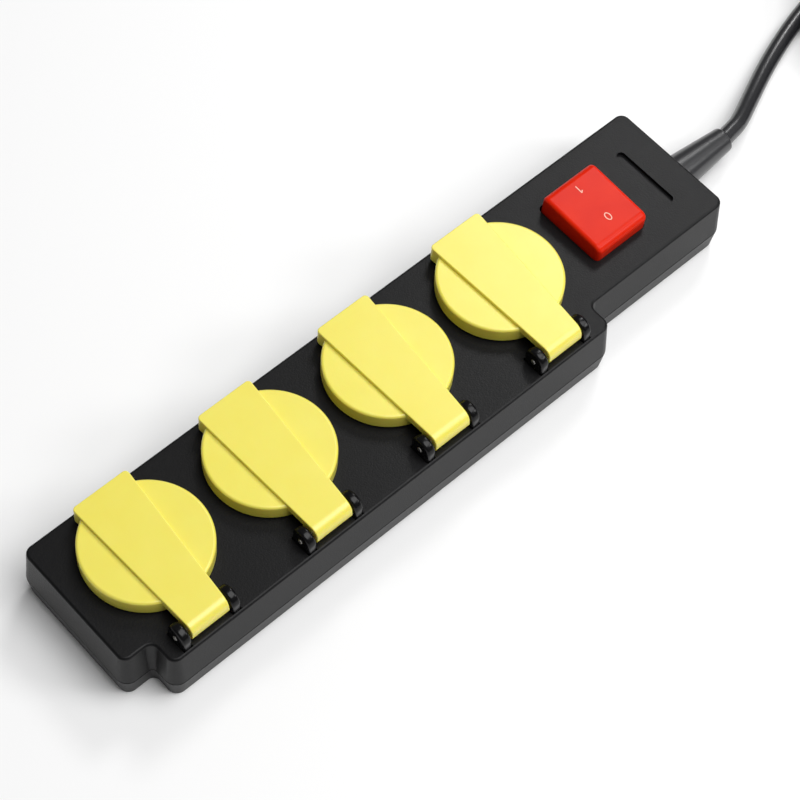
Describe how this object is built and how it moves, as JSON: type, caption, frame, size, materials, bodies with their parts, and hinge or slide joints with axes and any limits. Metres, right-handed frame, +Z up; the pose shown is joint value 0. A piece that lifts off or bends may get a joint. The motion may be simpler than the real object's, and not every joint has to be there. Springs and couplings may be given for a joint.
{
  "type": "portable power distribution box",
  "caption": "Portable socket strip in black plastic with yellow self-closing hinged lids, a red rocker switch and a coiled rubber cord with its plug",
  "frame": {"origin": "centre of the housing's plan, on the surface it rests on", "axes": "+X along the strip towards the cord, -Y towards the lid hinges, +Z up"},
  "size_m": [0.6825, 0.1331, 0.0454],
  "materials": {
    "housing_plastic": "fine-grained moulded surface with a soft sheen",
    "insert_plastic": "smooth moulded",
    "hinge_plastic": "smooth moulded, glossy",
    "pin_steel": "plain turned",
    "lid_plastic": "satin moulded",
    "seal_rubber": "soft foam rubber",
    "spring_steel": "drawn wire",
    "contact_brass": "stamped strip",
    "earth_nickel": "nickel plated, satin",
    "rocker_plastic": "satin moulded",
    "mark_paint": "printed fill",
    "plunger_plastic": "plain moulded",
    "zinc_steel": "zinc plated",
    "boot_rubber": "satin",
    "cord_rubber": "satin",
    "plug_rubber": "satin",
    "brown_insulation": "smooth",
    "blue_insulation": "smooth",
    "green_insulation": "smooth, green and yellow"
  },
  "bodies": {
    "strip": {"top_housing": "housing_plastic", "base_housing": "housing_plastic", "housing_screws": "zinc_steel", "socket_insert_1": "insert_plastic", "hinge_bracket_1": "hinge_plastic", "hinge_pin_1": "pin_steel", "socket_insert_2": "insert_plastic", "hinge_bracket_2": "hinge_plastic", "hinge_pin_2": "pin_steel", "socket_insert_3": "insert_plastic", "hinge_bracket_3": "hinge_plastic", "hinge_pin_3": "pin_steel", "socket_insert_4": "insert_plastic", "hinge_bracket_4": "hinge_plastic", "hinge_pin_4": "pin_steel", "live_busbar": "contact_brass", "neutral_busbar": "contact_brass", "earth_bar": "earth_nickel", "switch_body": "insert_plastic", "switch_terminals": "contact_brass", "cable_clamp": "insert_plastic", "clamp_screws": "zinc_steel", "cable_boot": "boot_rubber", "inner_cord": "cord_rubber", "wire_live_in": "brown_insulation", "wire_live_out": "brown_insulation", "wire_neutral_in": "blue_insulation", "wire_neutral_out": "blue_insulation", "wire_earth": "green_insulation", "cord_run": "cord_rubber", "cord_coil": "cord_rubber", "cord_end": "cord_rubber", "plug_body": "plug_rubber", "plug_pins": "earth_nickel", "plug_earth_strips": "earth_nickel"},
    "lid_body_1": {"lid_1": "lid_plastic", "lid_seal_1": "seal_rubber", "lid_spring_1": "spring_steel"},
    "lid_body_2": {"lid_2": "lid_plastic", "lid_seal_2": "seal_rubber", "lid_spring_2": "spring_steel"},
    "lid_body_3": {"lid_3": "lid_plastic", "lid_seal_3": "seal_rubber", "lid_spring_3": "spring_steel"},
    "lid_body_4": {"lid_4": "lid_plastic", "lid_seal_4": "seal_rubber", "lid_spring_4": "spring_steel"},
    "rocker_body": {"rocker": "rocker_plastic", "rocker_marks": "mark_paint", "plungers": "plunger_plastic", "plunger_springs": "spring_steel"},
    "neutral_bridge": {"contact_bridge_neutral": "contact_brass"},
    "live_bridge": {"contact_bridge_live": "contact_brass"}
  },
  "joints": [
    {"name": "lid_hinge_1", "type": "hinge", "parent": "strip", "child": "lid_body_1", "pos_m": [-0.1436, -0.0345, 0.039], "axis": [1, 0, 0], "range_deg": [0, 95], "stiffness_Nm_per_rad": 0.01, "springref_deg": -57.3},
    {"name": "lid_hinge_2", "type": "hinge", "parent": "strip", "child": "lid_body_2", "pos_m": [-0.0742, -0.0345, 0.039], "axis": [1, 0, 0], "range_deg": [0, 95], "stiffness_Nm_per_rad": 0.01, "springref_deg": -57.3},
    {"name": "lid_hinge_3", "type": "hinge", "parent": "strip", "child": "lid_body_3", "pos_m": [-0.0048, -0.0345, 0.039], "axis": [1, 0, 0], "range_deg": [0, 95], "stiffness_Nm_per_rad": 0.01, "springref_deg": -57.3},
    {"name": "lid_hinge_4", "type": "hinge", "parent": "strip", "child": "lid_body_4", "pos_m": [0.0646, -0.0345, 0.039], "axis": [1, 0, 0], "range_deg": [0, 95], "stiffness_Nm_per_rad": 0.01, "springref_deg": -57.3},
    {"name": "rocker_pivot", "type": "hinge", "parent": "strip", "child": "rocker_body", "pos_m": [0.1274, 0.0071, 0.027], "axis": [-1, 0, 0], "range_deg": [0, 6]},
    {"name": "neutral_bridge_tilt", "type": "hinge", "parent": "strip", "child": "neutral_bridge", "pos_m": [0.1204, 0.0071, 0.014], "axis": [1, 0, 0], "range_deg": [0, 10]},
    {"name": "live_bridge_tilt", "type": "hinge", "parent": "strip", "child": "live_bridge", "pos_m": [0.1344, 0.0071, 0.014], "axis": [1, 0, 0], "range_deg": [0, 10]}
  ],
  "couplings": [
    {"joint": "neutral_bridge_tilt", "follows": "rocker_pivot", "ratio": 1.6667},
    {"joint": "live_bridge_tilt", "follows": "rocker_pivot", "ratio": 1.6667}
  ]
}
